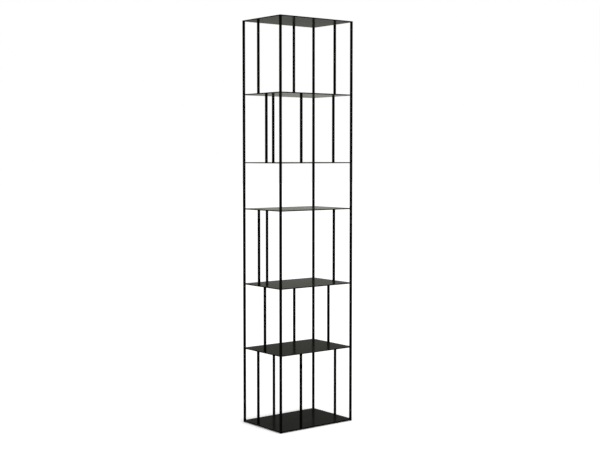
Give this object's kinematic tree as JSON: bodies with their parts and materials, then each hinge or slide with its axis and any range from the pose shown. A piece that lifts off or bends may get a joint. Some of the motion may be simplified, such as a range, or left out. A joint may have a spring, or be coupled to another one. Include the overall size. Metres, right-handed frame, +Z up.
{
  "type": "shelving unit",
  "caption": "Tall narrow open shelving unit: thin black steel sheets between slim corner posts, with plain rods at irregular places along the edges of each bay.",
  "frame": {"origin": "on the floor, under the middle of the unit's outline", "axes": "+X along the long front from left to right, +Y from the front to the back, +Z up"},
  "size_m": [0.45, 0.31, 2],
  "materials": {
    "sheet_steel": "satin black powder coat on steel sheet",
    "bar_steel": "satin black powder coat on square bar",
    "glide_plastic": "matt black moulded nylon"
  },
  "bodies": {
    "root": {"bottom_sheet": "sheet_steel", "glide_back_left": "glide_plastic", "glide_back_right": "glide_plastic", "glide_front_left": "glide_plastic", "glide_front_right": "glide_plastic", "post_back_left": "bar_steel", "post_back_right": "bar_steel", "post_front_left": "bar_steel", "post_front_right": "bar_steel", "rod_bay1_back": "bar_steel", "rod_bay1_front": "bar_steel", "rod_bay1_left": "bar_steel", "rod_bay1_right": "bar_steel", "rod_bay2_back": "bar_steel", "rod_bay2_left": "bar_steel", "rod_bay2_right": "bar_steel", "rod_bay3_back": "bar_steel", "rod_bay3_left": "bar_steel", "rod_bay3_right": "bar_steel", "rod_bay5_back": "bar_steel", "rod_bay5_front": "bar_steel", "rod_bay5_left": "bar_steel", "rod_bay5_right": "bar_steel", "rod_bay6_back": "bar_steel", "rod_bay6_left": "bar_steel", "rod_bay6_right": "bar_steel", "shelf_1": "sheet_steel", "shelf_2": "sheet_steel", "shelf_3": "sheet_steel", "shelf_4": "sheet_steel", "shelf_5": "sheet_steel", "top_sheet": "sheet_steel"}
  },
  "joints": []
}
